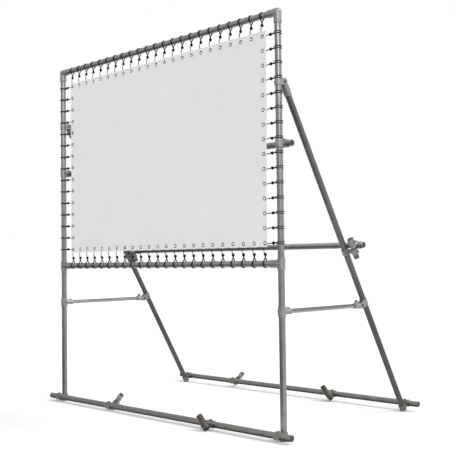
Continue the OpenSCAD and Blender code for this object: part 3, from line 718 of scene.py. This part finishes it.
ALONG_X, ALONG_Y, ALONG_Z = (0.12, 6, 6), (6, 0.12, 6), (6, 6, 0.12)  # scales of the streaks
RAIL = dict(along=ALONG_X, low=(0.24, 0.241, 0.236), high=(0.38, 0.381, 0.374), rough=(0.34, 0.50))
# painted shade: the braces and stubs get darker, warmer copies of the tube colours, darkest low down
BRACE = dict(along=ALONG_Z, tilt=(-BRACE_TILT, 0, 0), low=(0.059, 0.052, 0.047), high=(0.099, 0.089, 0.081),
             lit_upper=(grey(0.088), grey(0.145)), metallic=0.6)
TUBE_KINDS = {
    "post": dict(along=ALONG_Z, low=(0.180, 0.181, 0.177), high=(0.290, 0.291, 0.285)),
    "high_x": RAIL,
    # painted shade under the cross tubes and painted light on their tops
    "cross": dict(RAIL, painted_shade=(-0.5, 0.5, 0.45, 1.25)),
    # painted shade under the ground rails, darkest at the bottom
    "low_x": dict(along=ALONG_X, low=(0.190, 0.187, 0.176), high=(0.315, 0.311, 0.295),
                  painted_shade=(-0.65, 0.45, 0.08, 1.0)),
    "brace": BRACE,
    "stub": dict(BRACE, bore=STUB_BORE_R),
    # painted light in the bores of the left sleeves, lighter than in the other tubes
    "sleeve_left": dict(along=ALONG_Z, tilt=(0, -SLEEVE_TILT, 0), low=(0.30, 0.30, 0.285),
                        high=(0.46, 0.46, 0.44), bore_light=((0.30, 0.30, 0.29), (0.40, 0.40, 0.385))),
    # painted shade: the right sleeves are darker, browner copies of the left ones, since they lean the other
    # way to the light; their bores get painted light too
    "sleeve_right": dict(along=ALONG_Z, tilt=(0, SLEEVE_TILT, 0), low=(0.048, 0.039, 0.034),
                         high=(0.092, 0.077, 0.069), rough=(0.16, 0.28),
                         bore_light=((0.10, 0.085, 0.075), (0.15, 0.13, 0.12))),
    # painted shade on the tops of the ties
    "tie": dict(along=ALONG_Y, low=(0.26, 0.262, 0.252), high=(0.40, 0.40, 0.39),
                painted_shade=(-0.5, 0.45, 1.0, 0.40)),
}
TUBES = {  # kind, and whether an end is open
    "top_rail": ("high_x", False), "lower_rail": ("high_x", False),
    "back_tube": ("cross", True), "rear_cross_tube": ("cross", True),
    "front_ground_rail": ("low_x", True), "rear_ground_rail": ("low_x", True),
}
for hand in ("left", "right"):
    TUBES[f"post_{hand}"] = ("post", False)
    TUBES[f"brace_{hand}"] = ("brace", False)
    TUBES[f"tie_{hand}"] = ("tie", False)
    TUBES[f"stub_{hand}"] = ("stub", True)
    TUBES[f"anchor_sleeve_front_{hand}"] = TUBES[f"anchor_sleeve_rear_{hand}"] = (f"sleeve_{hand}", True)
REPLACED = ("sheet", "bungee_loops", "bungee_balls", "bungee_strands")


def dress_nodes():
    shared = {}
    others = (  # starts of the names, the first that fits; the last line is for all other fittings
        # painted shade: the clamps on the right sleeves get a darker, browner copy of the fitting colours,
        # to go with those sleeves
        (("sleeve_clamp_front_right", "sleeve_clamp_rear_right"),
         fitting_material("cast_fitting_dark", (0.050, 0.042, 0.038), (0.110, 0.095, 0.086))),
        (("link", "stub_crossover"),
         fitting_material("cast_fitting_mid", (0.165, 0.167, 0.164), (0.285, 0.286, 0.281))),
        (("base_crossover", "foot_crossover", "rail_clamp", "sleeve_clamp"),
         fitting_material("cast_fitting_low", (0.120, 0.118, 0.109), (0.225, 0.222, 0.208))),
        (("set_screws", "swivel_bolts"), screw_material()),
        (("eyelets",), eyelet_material()),
        (("",), fitting_material("cast_fitting", (0.19, 0.192, 0.188), (0.31, 0.31, 0.305))),
    )
    for name, ob in nodes.items():
        if name in REPLACED:
            continue
        kind, is_open = TUBES.get(name, (None, False))
        if is_open:
            middle = np.mean([tuple(c) for c in ob.bound_box], axis=0)
            m = tube_material(f"tube_{name}", middle=middle, **TUBE_KINDS[kind])
        elif kind:
            if kind not in shared:
                shared[kind] = tube_material(f"tube_{kind}", **TUBE_KINDS[kind])
            m = shared[kind]
        else:
            m = next(material for starts, material in others if name.startswith(starts))
        ob.data.materials.clear()
        ob.data.materials.append(m)


# ---------- floor, world, lamps ----------

def make_stage():
    """A pale floor that keeps the part's shadow. In gloss it is dark from about 1 m to 16 m ahead
    of the part, like the floor of an unlit room."""
    size = 60.0
    corners = [(-size, -size, 0), (size, -size, 0), (size, size, 0), (-size, size, 0)]
    mat = bpy.data.materials.new("studio_floor")
    floor = new_object("studio_floor", corners, [(0, 1, 2, 3)], mat, smooth=False)
    mat.use_nodes = True
    g = Tree(mat.node_tree)
    path, seen = g.rays()
    ahead = g.dot(g.add("NewGeometry").outputs["Position"], ROOM_SIDE)
    dark = g.math("MULTIPLY", g.ease(ahead, *ROOM_NEAR), path["Is Glossy Ray"])
    dark = g.math("MULTIPLY", g.ease(ahead, *ROOM_FAR, 1.0, 0.0), dark)
    diffuse, glow, both = g.add("BsdfDiffuse"), g.add("Emission"), g.add("AddShader")
    g.link(g.mixed(grey(FLOOR_GREY), grey(0.0), dark), diffuse.inputs["Color"])
    g.link(g.math("MULTIPLY", g.math("SUBTRACT", seen, dark), FLOOR_GLOW), glow.inputs["Strength"])
    g.link(diffuse.outputs[0], both.inputs[0])
    g.link(glow.outputs[0], both.inputs[1])
    g.link(both.outputs[0], g.add("OutputMaterial").inputs[0])


def make_world():
    """White where it is seen. What it lends to metal is dimmer in front on the left, as by a flag."""
    world = bpy.data.worlds.new("studio")
    bpy.context.scene.world = world
    world.use_nodes = True
    g = Tree(world.node_tree)
    lamp = g.add("Background", Color=(1.0, 0.995, 0.985, 1), Strength=AMBIENT)
    white = g.add("Background", Color=(1, 1, 1, 1), Strength=1.0)
    path, seen = g.rays()
    side = g.dot(g.add("TexCoord").outputs["Generated"], OPEN_SIDE)
    lit = g.ease(side, *FLAG_EDGE, FLAG_DIM, 1.0)
    dimmed = g.math("MULTIPLY", path["Is Glossy Ray"], g.math("SUBTRACT", 1.0, lit))
    mix = g.add("MixShader")
    g.link(g.math("SUBTRACT", seen, dimmed), mix.inputs[0])
    g.link(lamp.outputs[0], mix.inputs[1])
    g.link(white.outputs[0], mix.inputs[2])
    g.link(mix.outputs[0], g.add("OutputWorld").inputs[0])


def make_lights():
    for name, towards, level, spread in SUNS:
        data = bpy.data.lights.new(name, "SUN")
        data.energy = level * math.pi
        data.angle = math.radians(spread)
        ob = bpy.data.objects.new(name, data)
        bpy.context.scene.collection.objects.link(ob)
        ob.location = Vector(towards) * 6
        ob.rotation_euler = Vector(towards).to_track_quat("Z", "Y").to_euler()


bpy.context.scene.view_settings.view_transform = "Standard"
make_camera()
make_world()
make_stage()
make_lights()
dress_nodes()
make_bungees()
make_sheet(sheet_material())
